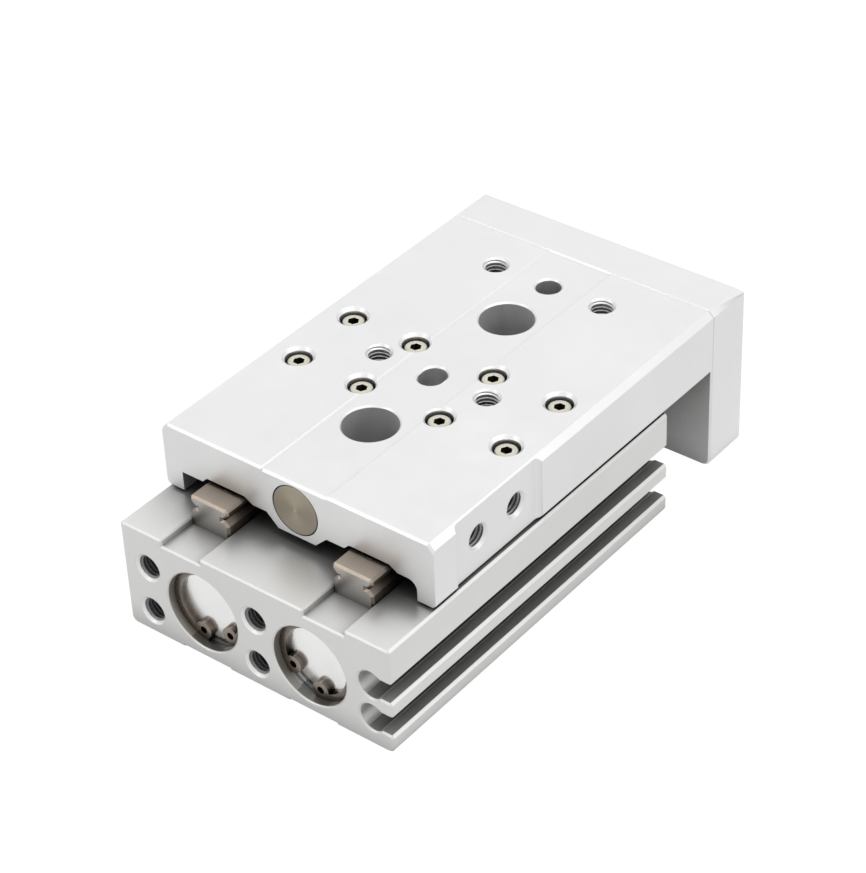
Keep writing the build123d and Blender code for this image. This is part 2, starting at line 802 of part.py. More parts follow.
def make_end_plate():
    plate = block((-half_width, half_width), (table_front_y, plate_front_y),
                  (plate_foot_gap, table_top_z))
    crown = plate.edges().group_by(Axis.Z)[-1]
    plate = chamfer(crown.sort_by(Axis.Y)[1:], table_edge_chamfer)
    plate = fillet(plate.edges().filter_by(Axis.Y).group_by(Axis.Z)[0], plate_corner_radius)
    for end, size in ((0, plate_edge_chamfer), (-1, plate_front_chamfer)):
        plate = chamfer(plate.faces().sort_by(Axis.Y)[end].edges(), size)
    for side in sides.values():
        x = side * bore_spacing / 2
        plate -= plate_drill(x, bore_z, bush_radius + bush_clearance, plate_thickness)
        plate -= plate_drill(x, bore_z, nut_pocket_radius, nut_pocket_depth)
        for way in (-1, 1):
            thread_x = side * plate_thread_spacing_x / 2
            thread_z = bore_z + (way + 1) * plate_thread_spacing_z / 2
            plate -= plate_drill(thread_x, thread_z, m5_core, plate_thread_depth,
                                 thread_mouth_chamfer)
    for x, z in plate_screw_places():
        plate -= plate_drill(x, z, m4_shank + screw_clearance, plate_thickness)
        plate -= plate_drill(x, z, m4_head + head_clearance, plate_counterbore_depth)
    return plate


def make_plate_screws():
    screw = socket_screw(m4_core - thread_clearance, plate_screw_length, m4_head,
                         m4_head_height, m4_socket)
    seat = plate_front_y - plate_counterbore_depth
    return [Pos(x, seat, z) * Rot(-90, 0, 0) * screw for x, z in plate_screw_places()]


def make_rod():
    """A rod from its piston spigot to the stud that the end plate's nut is on."""
    washer_y = table_front_y - rod_washer_thickness
    stud_end = nut_y + m5_nut_height + stud_beyond_nut
    stud = m5_shank - thread_clearance
    return turned((0, piston_rear_y), (spigot_radius, piston_rear_y),
                  (spigot_radius, piston_front_y), (rod_radius, piston_front_y),
                  (rod_radius, washer_y), (stud, washer_y), (stud, stud_end), (0, stud_end))


def piston_sizes():
    """Where the piston splits, and the inner radii of its three grooves."""
    outer = bore_radius - piston_clearance
    split = piston_length / 2
    return outer, split, outer - wear_groove_depth, outer - seal_groove_depth


def make_piston_rear():
    """The rear half: wear ring groove, a pocket for the nut and the magnet's spigot."""
    outer, split, wear_floor, _ = piston_sizes()
    hole = spigot_radius + static_clearance
    pocket = piston_nut_flats / 2 / math.cos(math.pi / 6) + head_clearance
    wear_start = (split - magnet_width / 2 - wear_groove_width) / 2
    wear_end = wear_start + wear_groove_width
    magnet_start = split - magnet_width / 2
    return turned((pocket, 0), (outer - piston_edge_chamfer, 0), (outer, piston_edge_chamfer),
                  (outer, wear_start), (wear_floor, wear_start), (wear_floor, wear_end),
                  (outer, wear_end), (outer, magnet_start), (outer - magnet_depth, magnet_start),
                  (outer - magnet_depth, split), (hole, split), (hole, piston_nut_height),
                  (pocket, piston_nut_height))


def make_piston_front():
    """The front half: the rest of the magnet's seat and the lip seal's groove."""
    outer, split, _, seal_floor = piston_sizes()
    hole = spigot_radius + static_clearance
    magnet_end = split + magnet_width / 2
    seal_start = (magnet_end + piston_length - seal_groove_width) / 2
    seal_end = seal_start + seal_groove_width
    return turned((hole, split), (outer - magnet_depth, split), (outer - magnet_depth, magnet_end),
                  (outer, magnet_end), (outer, seal_start), (seal_floor, seal_start),
                  (seal_floor, seal_end), (outer, seal_end),
                  (outer, piston_length - piston_edge_chamfer),
                  (outer - piston_edge_chamfer, piston_length), (hole, piston_length))


def piston_ring(floor, rim, start, width):
    """A ring that lies in one of the piston's grooves with a little room on each side."""
    return ring(floor + static_clearance, rim, start + ring_side_clearance,
                start + width - ring_side_clearance)


def make_magnet():
    outer, split = piston_sizes()[:2]
    return piston_ring(outer - magnet_depth, outer - static_clearance, split - magnet_width / 2,
                       magnet_width)


def make_wear_ring():
    _, split, wear_floor, _ = piston_sizes()
    start = (split - magnet_width / 2 - wear_groove_width) / 2
    return piston_ring(wear_floor, bore_radius - seal_clearance, start, wear_groove_width)


def make_piston_seal():
    _, split, _, seal_floor = piston_sizes()
    magnet_end = split + magnet_width / 2
    start = (magnet_end + piston_length - seal_groove_width) / 2
    return piston_ring(seal_floor, bore_radius - seal_clearance, start, seal_groove_width)


def hex_nut(flats, height, hole):
    """A nut about the Y axis, with its seat at Y = 0."""
    flat = RegularPolygon(flats / 2, 6, major_radius=False) - Circle(hole)
    return along_y(flat, 0, height)


def make_bush():
    """A floating bush: a sleeve through the plate and a flange on the nut pocket's floor."""
    hole = m5_shank + stud_clearance
    floor = plate_thickness - nut_pocket_depth
    return turned((hole, 0), (bush_radius, 0), (bush_radius, floor), (bush_flange_radius, floor),
                  (bush_flange_radius, floor + bush_flange_thickness),
                  (hole, floor + bush_flange_thickness))


def make_washer():
    return ring(m5_shank + stud_clearance, rod_washer_radius, 0, rod_washer_thickness)


def both(place, piece):
    """The same piece on the left-hand and the right-hand bore."""
    return [place(side, piece) for side in sides.values()]


def both_on_rods(y, piece):
    return [on_rod_axis(side, y, piece) for side in sides.values()]


save("cylinder_body", make_body())
save("slide_table", make_table())
save("end_plate", make_end_plate())
save("stop_pin", make_stop_pin())
save("end_plate_screws", *make_plate_screws())

for name, side in sides.items():
    save(f"guide_rail_{name}", make_rail(side))
    save(f"rail_screws_{name}", *make_rail_screws(side))
    save(f"guide_block_{name}", make_guide_block(side))
    save(f"block_end_caps_{name}", *make_end_caps(side))
    save(f"block_end_seals_{name}", *make_end_seals(side))
    save(f"guide_balls_{name}", *make_balls(side))
    save(f"block_screws_{name}", *make_block_screws(side))
    save(f"head_cover_{name}", in_rear_mouth(side, make_head_cover()))
    save(f"rod_cover_{name}", in_front_mouth(side, make_rod_cover()))
    save(f"piston_rod_{name}", on_rod_axis(side, 0, make_rod()))
    save(f"piston_rear_{name}", on_rod_axis(side, piston_rear_y, make_piston_rear()))
    save(f"piston_front_{name}", on_rod_axis(side, piston_rear_y, make_piston_front()))

save("rear_retaining_ring_left", in_rear_mouth(-1, make_retaining_ring(left_ring_turn)))
save("rear_retaining_ring_right", in_rear_mouth(1, make_retaining_ring(right_ring_turn)))
save("front_retaining_rings", *both(in_front_mouth, make_retaining_ring(left_ring_turn)))
save("head_cover_seals", *both(in_rear_mouth, make_cover_seal()))
save("rod_cover_seals", *both(in_front_mouth, make_cover_seal()))
save("head_bumpers", *both(in_rear_mouth, make_head_bumper()))
save("rod_bumpers", *both(in_front_mouth, make_rod_bumper()))
save("rod_bearings", *both(in_front_mouth, make_rod_bearing()))
save("rod_seals", *both(in_front_mouth, make_rod_seal()))
save("side_port_plugs", *make_port_plugs())
save("piston_magnets", *both_on_rods(piston_rear_y, make_magnet()))
save("piston_wear_rings", *both_on_rods(piston_rear_y, make_wear_ring()))
save("piston_seals", *both_on_rods(piston_rear_y, make_piston_seal()))
save("piston_nuts", *both_on_rods(piston_rear_y, hex_nut(
    piston_nut_flats, piston_nut_height, spigot_radius + static_clearance)))
save("rod_washers", *both_on_rods(table_front_y - rod_washer_thickness, make_washer()))
save("floating_bushes", *both_on_rods(table_front_y, make_bush()))
save("rod_nuts", *both_on_rods(nut_y, hex_nut(
    m5_nut_flats, m5_nut_height, m5_shank)))
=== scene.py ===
import json
import math

import bmesh
import bpy
from mathutils import Matrix, Vector


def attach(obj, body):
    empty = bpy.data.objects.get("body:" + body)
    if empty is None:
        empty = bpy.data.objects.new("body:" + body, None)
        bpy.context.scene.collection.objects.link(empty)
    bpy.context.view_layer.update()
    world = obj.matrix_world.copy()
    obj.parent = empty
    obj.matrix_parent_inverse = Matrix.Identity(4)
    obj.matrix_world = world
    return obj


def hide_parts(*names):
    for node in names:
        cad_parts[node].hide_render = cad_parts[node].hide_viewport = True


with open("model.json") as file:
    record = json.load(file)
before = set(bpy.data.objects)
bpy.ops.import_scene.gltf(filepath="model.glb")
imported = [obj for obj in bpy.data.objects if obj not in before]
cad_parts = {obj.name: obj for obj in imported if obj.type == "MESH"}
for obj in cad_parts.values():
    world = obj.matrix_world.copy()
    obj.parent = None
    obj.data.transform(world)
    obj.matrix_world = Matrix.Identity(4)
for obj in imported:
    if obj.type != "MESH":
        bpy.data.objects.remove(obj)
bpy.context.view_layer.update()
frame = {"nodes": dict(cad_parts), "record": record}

MM = 0.001
MM_PER_METRE = 1000
nodes = frame["nodes"]

# Places and sizes of the part, in millimetres
REAR_Y = -41.9
TABLE_REAR_Y = -28.8
PLATE_FRONT_Y = 67.5
TABLE_TOP = 37.6
POCKET_X, POCKET_HOLE_Z = 30.1, 30.6
BORE_X = 12.5
BORE_Z = 10.7
BORE_MOUTH = 8.25
PIN_Z = 31.3
PIN_RADIUS = 5.0
PIN_DIMPLE_HIGHLIGHT = 0.4
PORTS = ((-25.2, 5), (-25.2, 15), (0, 5), (0, 15))
PORT_MOUTH = 2.98

# Threads, as radii and pitch, and how far their turns run into each tapped hole
M5 = {"core": 2.1, "major": 2.5, "pitch": 0.8}
M6 = {"core": 2.55, "major": 3.0, "pitch": 1.0}
THREAD_HALF_ANGLE = math.radians(30)
THREAD_LENGTH = {"rear": 7.6, "foot": 18.6, "top_rear": 6.2, "top_front": 10.2, "side": 3.1,
                 "plate": 7.6}

# Widened mouths, as two radii and the depth between them
COUNTERBORE = {"outer": 3.25, "inner": 2.65, "depth": 0.6}
PIN_GAP = {"outer": PIN_RADIUS + 0.22, "inner": PIN_RADIUS + 0.18, "depth": 1.2}

# How far a cutter reaches past the surface that it cuts, and the steps of its round forms
COIL_OVERLAP = 0.06
COIL_STEPS = 30
CONE_OVERLAP = 0.05
CONE_SIDES = 64

# Cosine of the angle within which a face counts as turned one way
FACING = 0.9
UP = (0, 0, 1)
REARWARD = (0, -1, 0)

# Range of openness over which a cavity passes from deep to open
CAVITY_DEEP, CAVITY_OPEN = 0.35, 0.55

# Sockets of a mix node for each kind of value: first, second and result
MIX_SOCKETS = {"FLOAT": (2, 3, 0), "RGBA": (6, 7, 2)}

# Painted tones for the body's holes: painted shade on the bore walls and in the threads, and a
# painted highlight on the mouth chamfers of the rear holes
BORE_PAINTED_SHADE = (0.42, 0.40, 0.36)
CHAMFER_PAINTED_HIGHLIGHT = (1.0, 1.0, 0.99)
THREAD_PAINTED_SHADE = (0.28, 0.28, 0.29)

# The finish of the table and its end plate: colour, metallic, roughness and grain
TABLE_FINISH = ((0.86, 0.86, 0.86), 0.8, 0.38, 0.22)


def scaled(colour, factor):
    return tuple(c * factor for c in colour)


class Shader:
    """A material that is built node by node round one principled shader."""

    def __init__(self, name, colour, metallic, roughness):
        self.material = bpy.data.materials.new(name)
        self.material.use_nodes = True
        self.tree = self.material.node_tree
        self.tree.nodes.clear()
        output = self.add("ShaderNodeOutputMaterial")
        self.base = self.add("ShaderNodeBsdfPrincipled")
        self.base.inputs["Base Color"].default_value = (*colour, 1)
        self.base.inputs["Metallic"].default_value = metallic
        self.base.inputs["Roughness"].default_value = roughness
        self.feed(output.inputs["Surface"], self.base.outputs["BSDF"])

    def add(self, kind, **settings):
        node = self.tree.nodes.new(kind)
        for key, value in settings.items():
            setattr(node, key, value)
        return node

    def feed(self, socket, value):
        """Give an input the output of another node, or else a colour or a number."""
        if isinstance(value, bpy.types.NodeSocket):
            self.tree.links.new(value, socket)
        elif isinstance(value, tuple):
            socket.default_value = (*value, 1)
        else:
            socket.default_value = value

    def set(self, name, value):
        """Feed an input of the principled shader."""
        self.feed(self.base.inputs[name], value)

    def so_far(self, name):
        """The output that feeds an input of the principled shader so far."""
        return self.base.inputs[name].links[0].from_socket

    def math(self, operation, first, second=None):
        """The result of a math node, whose inputs are sockets or numbers."""
        node = self.add("ShaderNodeMath", operation=operation)
        self.feed(node.inputs[0], first)
        if second is not None:
            self.feed(node.inputs[1], second)
        return node.outputs[0]

    def mixed(self, share, first, second, kind="RGBA", blend="MIX"):
        """A mix of two values, by the share of the second."""
        first_in, second_in, result = MIX_SOCKETS[kind]
        mix = self.add("ShaderNodeMix", data_type=kind, blend_type=blend)
        self.feed(mix.inputs[0], share)
        self.feed(mix.inputs[first_in], first)
        self.feed(mix.inputs[second_in], second)
        return mix.outputs[result]

    def place(self):
        """Coordinates in the part's frame at rest, which each piece carries along, in metres."""
        return self.add("ShaderNodeTexCoord").outputs["Object"]

    def from_axis(self, x_mm, z_mm):
        """How far a place lies across and up from an axis along Y, in metres."""
        split = self.add("ShaderNodeSeparateXYZ")
        self.feed(split.inputs[0], self.place())
        return (self.math("SUBTRACT", split.outputs["X"], x_mm * MM),
                self.math("SUBTRACT", split.outputs["Z"], z_mm * MM))

    def radius_from(self, x_mm, z_mm):
        """The distance from an axis along Y, in metres."""
        across, up = self.from_axis(x_mm, z_mm)
        return self.math("SQRT", self.math("ADD", self.math("POWER", across, 2.0),
                                           self.math("POWER", up, 2.0)))

    def noise(self, per_mm, detail=2.0, stretch=(1, 1, 1)):
        """A noise with so many features to the millimetre along each axis."""
        mapping = self.add("ShaderNodeMapping")
        mapping.inputs["Scale"].default_value = [per_mm * MM_PER_METRE * s for s in stretch]
        self.feed(mapping.inputs["Vector"], self.place())
        noise = self.add("ShaderNodeTexNoise")
        noise.inputs["Scale"].default_value = 1.0
        noise.inputs["Detail"].default_value = detail
        self.feed(noise.inputs["Vector"], mapping.outputs["Vector"])
        return noise.outputs["Fac"]

    def spread(self, value, low, high, start=0.3, end=0.7):
        """Map a value onto a range. A noise keeps mostly between the given start and end."""
        node = self.add("ShaderNodeMapRange")
        for name, number in (("From Min", start), ("From Max", end), ("To Min", low),
                             ("To Max", high)):
            node.inputs[name].default_value = number
        self.feed(node.inputs["Value"], value)
        return node.outputs["Result"]

    def tones(self, value, dark, light):
        """Mix two colours by a value and set the result as the base colour."""
        self.set("Base Color", self.mixed(value, dark, light))

    def clouded(self, colour, per_mm, dark, light, detail=3):
        """Vary the base colour in soft patches between two shares of its brightness."""
        cloud = self.noise(per_mm, detail)
        self.tones(self.spread(cloud, 0, 1), scaled(colour, dark), scaled(colour, light))

    def paint_light_round_axes(self, axes, radius_mm, colour):
        """Paint a tone on the faces out to a radius from axes along Y, standing in for light
        there: painted shade or a painted highlight.
        """
        for x, z in axes:
            inside = self.math("LESS_THAN", self.radius_from(x, z), radius_mm * MM)
            self.set("Base Color", self.mixed(inside, self.so_far("Base Color"), colour))

    def openness(self, reach_mm):
        """How open the surface lies: 1 in the open, and less in a groove or a hole."""
        node = self.add("ShaderNodeAmbientOcclusion", samples=8)
        node.inputs["Distance"].default_value = reach_mm * MM
        return node.outputs["AO"]

    def paint_cavity_shade(self, reach_mm, power, facing=None):
        """Paint shade into the colour where nearby surfaces close it in, as in a groove or a
        hole: painted shade from ambient occlusion.

        With a direction given, only the faces turned that way are darkened.
        """
        share = 1.0
        if facing:
            turned_to = self.add("ShaderNodeVectorMath", operation="DOT_PRODUCT")
            geometry = self.add("ShaderNodeNewGeometry")
            self.feed(turned_to.inputs[0], geometry.outputs["True Normal"])
            turned_to.inputs[1].default_value = facing
            share = self.math("GREATER_THAN", turned_to.outputs["Value"], FACING)
        shade = self.math("POWER", self.openness(reach_mm), power)
        self.set("Base Color",
                 self.mixed(share, self.so_far("Base Color"), shade, blend="MULTIPLY"))

    def rough(self, pattern, level, below, above, start=0.3, end=0.7):
        """Vary the roughness about a level by a pattern."""
        self.set("Roughness", self.spread(pattern, level - below, level + above, start, end))

    def smooth_cavities(self, reach_mm, inside):
        """Make the finish smoother where the surface is closed in, as a machined hole is."""
        share = self.spread(self.openness(reach_mm), 0, 1, CAVITY_DEEP, CAVITY_OPEN)
        self.set("Roughness", self.mixed(share, inside, self.so_far("Roughness"), "FLOAT"))

    def relief(self, height, depth_mm, edge_mm):
        """A fine relief, over edges that look rounded as tumbling and anodising leave them."""
        edges = self.add("ShaderNodeBevel", samples=4)
        edges.inputs["Radius"].default_value = edge_mm * MM
        bump = self.add("ShaderNodeBump")
        bump.inputs["Strength"].default_value = 1.0
        bump.inputs["Distance"].default_value = depth_mm * MM
        self.feed(bump.inputs["Height"], height)
        self.feed(bump.inputs["Normal"], edges.outputs["Normal"])
        self.set("Normal", bump.outputs["Normal"])


def anodised(name, colour, metallic, roughness, grain_mm, shade=None):
    """Blasted and anodised aluminium: fine grain, a faint cloud, soft edges and painted shade in
    hollows.
    """
    shader = Shader(name, colour, metallic, roughness)
    shader.clouded(colour, 0.035, 0.972, 1.012)
    shader.rough(shader.noise(0.25, detail=4), roughness, 0.04, 0.05)
    shader.smooth_cavities(3.0, 0.12)
    # Painted shade in grooves and holes
    shader.paint_cavity_shade(6.0, 0.25)
    # A given shade adds painted shade on faces turned one way, where nearby surfaces close them
    # in
    if shade:
        shader.paint_cavity_shade(*shade)
    shader.relief(shader.noise(1 / grain_mm, detail=3), 0.001, 0.12)
    return shader.material


def extruded(name, colour, metallic, roughness):
    """Anodised extrusion: fine grain with faint drawing lines along Y.

    Its bores and the holes in its rear face get painted tones: painted shade on the bore walls
    and in the threads, and a painted highlight on the mouth chamfers. It also gets painted shade
    in its grooves and holes, and more on up-facing faces that nearby parts close in, such as the
    top under the table.
    """
    margin = 0.05
    shader = Shader(name, colour, metallic, roughness)
    shader.clouded(colour, 0.04, 0.968, 1.012)
    # Painted shade on the bore walls, a painted highlight on the port mouth chamfers, and
    # painted shade in the threads
    shader.paint_light_round_axes(((-BORE_X, BORE_Z), (BORE_X, BORE_Z)), BORE_MOUTH + margin, BORE_PAINTED_SHADE)
    shader.paint_light_round_axes(PORTS, PORT_MOUTH, CHAMFER_PAINTED_HIGHLIGHT)
    shader.paint_light_round_axes(PORTS, M5["major"] - margin, THREAD_PAINTED_SHADE)
    # Painted shade in grooves and holes, and more painted shade on up-facing faces under the
    # table
    shader.paint_cavity_shade(6.0, 0.5)
    shader.paint_cavity_shade(14.0, 0.85, UP)
    lines = shader.noise(3.0, detail=3, stretch=(1, 0.012, 1))
    shader.rough(lines, roughness, 0.03, 0.04)
    height = shader.math("ADD", shader.math("MULTIPLY", lines, 0.5), shader.noise(5.0))
    shader.relief(height, 0.0025, 0.14)
    return shader.material


def turned(name, colour, roughness, centre_mm, pitch_mm, depth_mm=0, shine=0):
    """A face turned in a lathe about an axis along Y: fine rings round the centre.

    The shine is the share by which a painted highlight, a bow of light across the rings, is
    brighter, and with it comes a painted highlight on the small dimple that the turning tool
    leaves in the centre.
    """
    shader = Shader(name, colour, 1.0, roughness)
    turns = shader.math("MULTIPLY", shader.radius_from(*centre_mm),
                        2 * math.pi / (pitch_mm * MM))
    cloud = shader.noise(0.15, detail=3)
    uneven = shader.math("MULTIPLY", shader.math("SINE", turns), cloud)
    if shine:
        # Painted highlight: a bow of light across the rings
        round_axis = shader.math("ARCTAN2", *shader.from_axis(*centre_mm))
        bow = shader.math("COSINE", shader.math("MULTIPLY", round_axis, 2.0))
        light = shader.spread(shader.math("ADD", bow, cloud), 0, 1, -0.5, 1.5)
        shader.tones(light, scaled(colour, 1 - shine), scaled(colour, 1 + shine))
        # Painted highlight on the centre dimple
        shader.paint_light_round_axes((centre_mm,), PIN_DIMPLE_HIGHLIGHT, scaled(colour, 1 + 2 * shine))
    else:
        shader.tones(shader.spread(cloud, 0, 1), scaled(colour, 0.96), scaled(colour, 1.02))
    shader.rough(uneven, roughness, 0.03, 0.06, -0.5, 0.5)
    if depth_mm:
        shader.relief(uneven, depth_mm, 0.1)
    return shader.material


def ground_steel(name, colour, end_colour, roughness):
    """Ground rail steel: fine lines along Y, another tone on the faces that look along Y at each
    end, and painted shade in hollows and under the table.
    """
    shader = Shader(name, colour, 1.0, roughness)
    normal = shader.add("ShaderNodeSeparateXYZ")
    shader.feed(normal.inputs[0], shader.add("ShaderNodeNewGeometry").outputs["Normal"])
    at_end = shader.math("GREATER_THAN", shader.math("ABSOLUTE", normal.outputs["Y"]), FACING)
    shader.tones(at_end, colour, end_colour)
    # Painted shade where nearby surfaces close the rail in, as under the table
    shader.paint_cavity_shade(8.0, 1.0)
    lines = shader.noise(4.0, detail=4, stretch=(1, 0.02, 1))
    shader.rough(lines, roughness, 0.07, 0.1)
    shader.relief(lines, 0.003, 0.1)
    return shader.material


def plain_metal(name, colour, roughness, grain=2.0, depth_mm=0.004, mottle=0.12, cavity_shade=None):
    """Steel, bronze or plating with a mottled tone, a fine grain and, when a cavity shade is
    given, painted shade in its hollows.
    """
    shader = Shader(name, colour, 1.0, roughness)
    shader.clouded(colour, 0.6, 1 - mottle, 1 + mottle, detail=4)
    if cavity_shade:
        # Painted shade in hollows, such as a screw's hex socket
        shader.paint_cavity_shade(*cavity_shade)
    shader.rough(shader.noise(grain), roughness, 0.06, 0.08)
    shader.relief(shader.noise(2 * grain, detail=3), depth_mm, 0.08)
    return shader.material


def moulded(name, colour, roughness):
    """Rubber or plastic with a fine matt grain."""
    shader = Shader(name, colour, 0.0, roughness)
    shader.clouded(colour, 0.5, 0.8, 1.2)
    shader.rough(shader.noise(3.0), roughness, 0.06, 0.06)
    shader.relief(shader.noise(6.0, detail=3), 0.006, 0.08)
    return shader.material


finishes = {
    "body_aluminium": extruded("body_anodised", (0.79, 0.79, 0.78), 0.65, 0.4),
    "table_aluminium": anodised("table_anodised", *TABLE_FINISH),
    "cover_aluminium": plain_metal("cover_bright", (0.90, 0.90, 0.89), 0.32),
    "rail_steel": ground_steel("rail_ground", (0.42, 0.36, 0.30), (0.54, 0.515, 0.485), 0.36),
    # The pin's face takes a painted highlight: a bow of light and a bright centre
    "pin_steel": turned("pin_turned", (0.36, 0.32, 0.25), 0.34, (0, PIN_Z), 0.45,
                        depth_mm=0.006, shine=0.14),
    # The ring and the screws take painted shade in their hollows
    "ring_steel": plain_metal("ring_phosphated", (0.34, 0.29, 0.245), 0.22, cavity_shade=(3.0, 1.8)),
    "screw_steel": plain_metal("screw_zinc", (0.80, 0.77, 0.66), 0.3, grain=0.6,
                               depth_mm=0.001, mottle=0.04, cavity_shade=(2.5, 1.4)),
    "rod_steel": plain_metal("rod_chrome", (0.80, 0.80, 0.80), 0.12, depth_mm=0.001),
    "ball_steel": plain_metal("ball_polished", (0.80, 0.80, 0.80), 0.08, depth_mm=0.0005),
    "bearing_bronze": plain_metal("bearing_bronze", (0.55, 0.42, 0.22), 0.4),
    "seal_rubber": moulded("seal_rubber", (0.02, 0.02, 0.02), 0.6),
    "bumper_urethane": moulded("bumper_urethane", (0.45, 0.22, 0.06), 0.45),
    "cap_plastic": moulded("cap_plastic", (0.03, 0.05, 0.04), 0.5),
    "magnet_plastic": moulded("magnet_plastic", (0.03, 0.03, 0.03), 0.5),
}


def finish_piece(piece, material):
    piece.data.materials.clear()
    piece.data.materials.append(material)


for subpart in frame["record"]["subparts"]:
    finish_piece(nodes[subpart["node"]], finishes[subpart["material_slot"]])

for side, sign in (("left", -1), ("right", 1)):
    bright = turned(f"cover_turned_{side}", (1.0, 1.0, 0.995), 0.2,
                    (sign * BORE_X, BORE_Z), 0.5)
    finish_piece(nodes[f"head_cover_{side}"], bright)

# The rear face of the end plate looks into the gap before the body, and painted shade darkens it
# there
finish_piece(nodes["end_plate"],
             anodised("plate_anodised", *TABLE_FINISH, shade=(20.0, 0.9, REARWARD)))


def hole_axes(inward):
    """The unit axis of a hole, and two directions across it."""
    axis = Vector(inward).normalized()
    across = axis.orthogonal().normalized()
    return axis, across, axis.cross(across)


def thread_coil(maker, mouth, inward, length, core, major, pitch):
    """Add to a mesh one closed coil, whose section is the groove of a thread in a hole.

    It starts just outside the mouth, and its inner edge lies just inside the hole.
    """
    inner = core - COIL_OVERLAP
    half_outer = pitch / 16
    half_inner = half_outer + math.tan(THREAD_HALF_ANGLE) * (major - inner)
    section = ((inner, -half_inner), (major, -half_outer), (major, half_outer),
               (inner, half_inner))
    axis, across, along = hole_axes(inward)
    start = -0.6 * pitch
    count = int((length - start) / pitch * COIL_STEPS)
    rings = []
    for i in range(count + 1):
        angle = 2 * math.pi * i / COIL_STEPS
        depth = start + pitch * i / COIL_STEPS
        out = across * math.cos(angle) + along * math.sin(angle)
        rings.append([maker.verts.new((Vector(mouth) + axis * (depth + d) + out * r) * MM)
                      for r, d in section])
    for one, two in zip(rings, rings[1:]):
        for k in range(4):
            maker.faces.new((one[k], one[(k + 1) % 4], two[(k + 1) % 4], two[k]))
    maker.faces.new(rings[0])
    maker.faces.new(reversed(rings[-1]))


def mouth_cone(maker, mouth, inward, outer, inner, depth):
    """Add to a mesh the closed cone that widens the mouth of a hole."""
    axis, across, along = hole_axes(inward)
    angles = [2 * math.pi * i / CONE_SIDES for i in range(CONE_SIDES)]
    flare = CONE_OVERLAP * (outer - inner) / depth
    rings = []
    for distance, radius in ((-CONE_OVERLAP, outer + flare), (depth, inner)):
        rings.append([maker.verts.new((Vector(mouth) + axis * distance + radius *
                                       (across * math.cos(a) + along * math.sin(a))) * MM)
                      for a in angles])
    for i in range(CONE_SIDES):
        j = (i + 1) % CONE_SIDES
        maker.faces.new((rings[0][i], rings[0][j], rings[1][j], rings[1][i]))
    maker.faces.new(rings[0])
    maker.faces.new(reversed(rings[1]))


def threaded(node, holes, body, mouths=()):
    """Replace a CAD node by a copy with real thread turns cut in its tapped holes.

    The mouths of other holes, given as cones, are widened in the same cut.
    """
    weld, sliver = 2e-7, 5e-7
    flat, sharp = math.radians(0.4), math.radians(28)
    source = nodes[node]
    mesh = bpy.data.meshes.new(f"{node}_threaded")
    mesh.from_pydata([v.co for v in source.data.vertices], [],
                     [tuple(p.vertices) for p in source.data.polygons])
    maker = bmesh.new()
    maker.from_mesh(mesh)
    bmesh.ops.remove_doubles(maker, verts=maker.verts, dist=weld)
    maker.to_mesh(mesh)
    maker.free()
    piece = bpy.data.objects.new(f"{node}_threaded", mesh)
    bpy.context.scene.collection.objects.link(piece)

    maker = bmesh.new()
    for mouth, inward, length, size in holes:
        thread_coil(maker, mouth, inward, length, **size)
    for mouth, inward, size in mouths:
        mouth_cone(maker, mouth, inward, **size)
    bmesh.ops.recalc_face_normals(maker, faces=maker.faces)
    coils = bpy.data.meshes.new("coils")
    maker.to_mesh(coils)
    maker.free()
    cutter = bpy.data.objects.new("thread_cutter", coils)
    bpy.context.scene.collection.objects.link(cutter)

    cut = piece.modifiers.new("threads", "BOOLEAN")
    cut.operation = "DIFFERENCE"
    cut.solver = "EXACT"
    cut.object = cutter
    bpy.context.view_layer.update()
    result = bpy.data.meshes.new_from_object(
        piece.evaluated_get(bpy.context.evaluated_depsgraph_get()))
    piece.modifiers.clear()
    piece.data = result
    bpy.data.objects.remove(cutter)
    maker = bmesh.new()
    maker.from_mesh(result)
    bmesh.ops.dissolve_degenerate(maker, edges=maker.edges, dist=sliver)
    bmesh.ops.dissolve_limit(maker, angle_limit=flat, verts=maker.verts, edges=maker.edges)
    maker.to_mesh(result)
    maker.free()
    result.shade_smooth()
    result.set_sharp_from_angle(angle=sharp)
    even = piece.modifiers.new("even_normals", "WEIGHTED_NORMAL")
    even.keep_sharp = True
    even.weight = 100
    finish_piece(piece, source.data.materials[0])
    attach(piece, body)
    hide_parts(node)


rear_holes = [((x, REAR_Y, z), (0, 1, 0), THREAD_LENGTH["rear"], M5) for x, z in PORTS]
foot_holes = [((0, y, 0), UP, THREAD_LENGTH["foot"], M6) for y in (-20.4, 20.4)]
threaded("cylinder_body", rear_holes + foot_holes, "body")

top_holes = [((x, y, TABLE_TOP), (0, 0, -1), THREAD_LENGTH[end], M5) for x in (-12.5, 12.5)
             for y, end in ((10.8, "top_rear"), (46.8, "top_front"))]
side_holes = [((POCKET_X, y, POCKET_HOLE_Z), (-1, 0, 0), THREAD_LENGTH["side"], M5)
              for y in (-15.3, -4.4)]
counterbores = [((x + side, y, TABLE_TOP), (0, 0, -1), COUNTERBORE)
                for x in (-16.5, 16.5) for side in (-7.5, 7.5) for y in (1.2, 17.2)]
pin_gap = ((0, TABLE_REAR_Y, PIN_Z), (0, 1, 0), PIN_GAP)
threaded("slide_table", top_holes + side_holes, "table", counterbores + [pin_gap])

plate_holes = [((x, PLATE_FRONT_Y, z), (0, -1, 0), THREAD_LENGTH["plate"], M5)
               for x in (-22.5, 22.5) for z in (10.7, 22.7)]
threaded("end_plate", plate_holes, "table")


